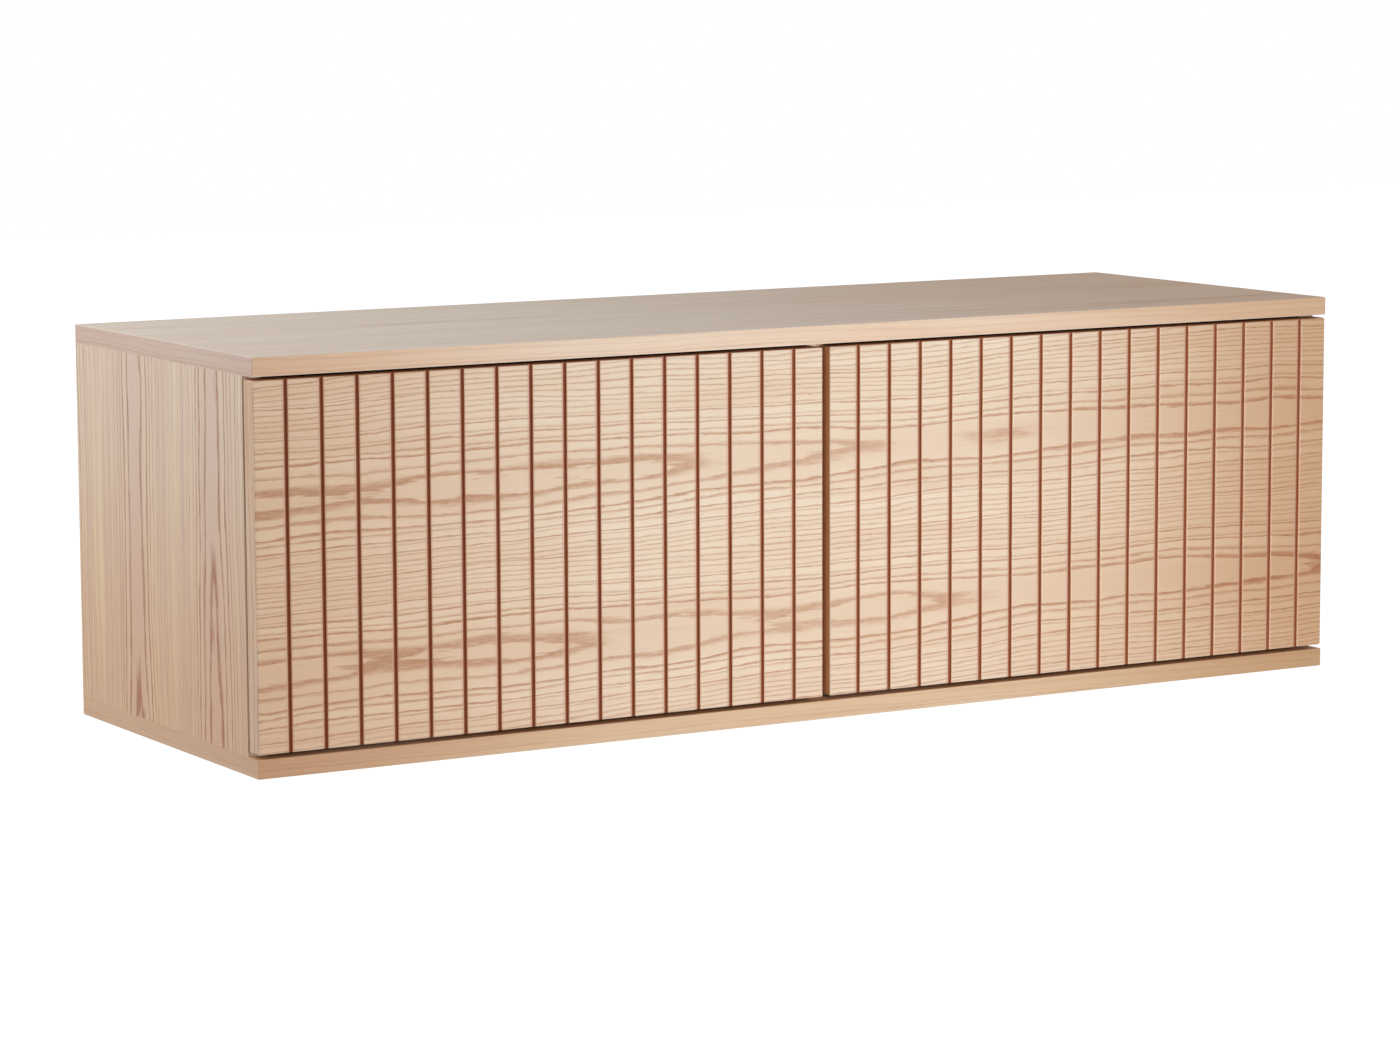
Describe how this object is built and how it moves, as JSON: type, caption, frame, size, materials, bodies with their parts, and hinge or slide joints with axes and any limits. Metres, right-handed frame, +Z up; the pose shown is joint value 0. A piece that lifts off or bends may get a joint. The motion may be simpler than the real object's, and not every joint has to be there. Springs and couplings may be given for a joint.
{
  "type": "floating media console",
  "caption": "Wall-hung media console in pale ash veneer: upright grooved push-to-open doors, adjustable shelves, cable outlets and a hidden bevelled wall cleat.",
  "frame": {"origin": "middle of the row of wall screw holes in the wall cleat, in the plane of the wall", "axes": "+X to the right along the console's length, the doors face -Y, +Y into the wall, +Z up"},
  "size_m": [1.2, 0.4, 0.38],
  "materials": {
    "ash_veneer": "clear matt lacquer over ash veneer",
    "ash_interior": "clear matt lacquer over ash veneer",
    "cleat_timber": "planed, unfinished",
    "dowel_timber": "fluted beech, unfinished",
    "latch_plastic": "fine moulded texture",
    "latch_pad": "smooth",
    "zinc_plated_steel": "bright zinc plating",
    "nickel_plated_metal": "satin nickel plating"
  },
  "bodies": {
    "carcass": {"top_panel": "ash_veneer", "bottom_panel": "ash_veneer", "centre_divider": "ash_interior", "back_panel": "ash_interior", "hanging_cleat": "cleat_timber", "wall_cleat": "cleat_timber", "cleat_screws": "zinc_plated_steel", "carcass_dowels": "dowel_timber", "cam_bolts": "zinc_plated_steel", "cam_housings": "nickel_plated_metal", "left_side": "ash_veneer", "left_shelf": "ash_interior", "left_shelf_supports": "nickel_plated_metal", "left_latch_housing": "latch_plastic", "left_upper_hinge_arm": "nickel_plated_metal", "left_upper_hinge_plate": "nickel_plated_metal", "left_lower_hinge_arm": "nickel_plated_metal", "left_lower_hinge_plate": "nickel_plated_metal", "left_plate_screws": "zinc_plated_steel", "left_arm_screws": "zinc_plated_steel", "left_latch_screws": "zinc_plated_steel", "right_side": "ash_veneer", "right_shelf": "ash_interior", "right_shelf_supports": "nickel_plated_metal", "right_latch_housing": "latch_plastic", "right_upper_hinge_arm": "nickel_plated_metal", "right_upper_hinge_plate": "nickel_plated_metal", "right_lower_hinge_arm": "nickel_plated_metal", "right_lower_hinge_plate": "nickel_plated_metal", "right_plate_screws": "zinc_plated_steel", "right_arm_screws": "zinc_plated_steel", "right_latch_screws": "zinc_plated_steel"},
    "left_leaf": {"left_door": "ash_veneer", "left_strike_plate": "nickel_plated_metal", "left_upper_hinge_cup": "nickel_plated_metal", "left_upper_hinge_pin": "zinc_plated_steel", "left_lower_hinge_cup": "nickel_plated_metal", "left_lower_hinge_pin": "zinc_plated_steel", "left_cup_screws": "zinc_plated_steel"},
    "left_latch": {"left_latch_plunger": "latch_plastic", "left_latch_pad": "latch_pad"},
    "right_leaf": {"right_door": "ash_veneer", "right_strike_plate": "nickel_plated_metal", "right_upper_hinge_cup": "nickel_plated_metal", "right_upper_hinge_pin": "zinc_plated_steel", "right_lower_hinge_cup": "nickel_plated_metal", "right_lower_hinge_pin": "zinc_plated_steel", "right_cup_screws": "zinc_plated_steel"},
    "right_latch": {"right_latch_plunger": "latch_plastic", "right_latch_pad": "latch_pad"}
  },
  "joints": [
    {"name": "left_door_hinge", "type": "hinge", "parent": "carcass", "child": "left_leaf", "pos_m": [-0.5925, -0.3905, -0.088], "axis": [0, 0, -1], "range_deg": [0, 100]},
    {"name": "right_door_hinge", "type": "hinge", "parent": "carcass", "child": "right_leaf", "pos_m": [0.5925, -0.3905, -0.088], "axis": [0, 0, 1], "range_deg": [0, 100]},
    {"name": "left_latch_slide", "type": "slide", "parent": "carcass", "child": "left_latch", "axis": [0, -1, 0], "range_m": [0, 0.02]},
    {"name": "right_latch_slide", "type": "slide", "parent": "carcass", "child": "right_latch", "axis": [0, -1, 0], "range_m": [0, 0.02]}
  ],
  "couplings": [
    {"joint": "left_latch_slide", "follows": "left_door_hinge", "m_per_rad": 0.01145},
    {"joint": "right_latch_slide", "follows": "right_door_hinge", "m_per_rad": 0.01145}
  ]
}
